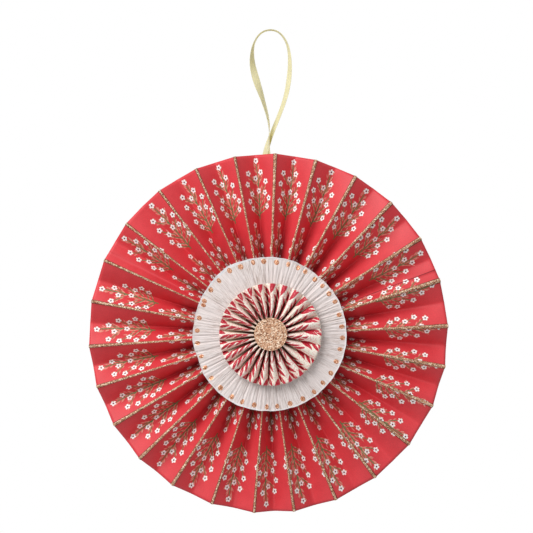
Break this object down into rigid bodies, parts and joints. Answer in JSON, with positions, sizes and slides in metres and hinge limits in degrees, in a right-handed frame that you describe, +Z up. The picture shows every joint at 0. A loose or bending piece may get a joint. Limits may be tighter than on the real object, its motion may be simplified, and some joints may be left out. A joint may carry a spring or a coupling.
{
  "type": "paper fan medallion",
  "caption": "Round hanging decoration of pleated printed paper with a gathered white ring, a small pleated rosette, a glitter disc and a ribbon loop.",
  "frame": {"origin": "centre of the rear face of the back card, on the wall", "axes": "+Z up, the medallion's front faces -Y, +Y points into the wall"},
  "size_m": [0.3013, 0.0375, 0.4062],
  "materials": {
    "fan_paper": "red printed craft paper, plain pale back",
    "gold_glitter": "gold glitter bead on the folds",
    "card": "plain card",
    "glue": "set hot glue",
    "ring_paper": "thin crinkled white paper with copper foil dots",
    "rosette_paper": "cream paper printed with red leaves",
    "glitter_card": "champagne glitter card",
    "ribbon": "narrow cream satin ribbon"
  },
  "bodies": {
    "root": {"fan_strip_long": "fan_paper", "fan_strip_short": "fan_paper", "ridge_glitter": "gold_glitter", "back_card": "card", "front_card": "card", "centre_glue": "glue", "gathered_ring": "ring_paper", "small_rosette": "rosette_paper", "glitter_disc": "glitter_card", "ribbon_loop": "ribbon", "tail_glue": "glue"}
  },
  "joints": []
}
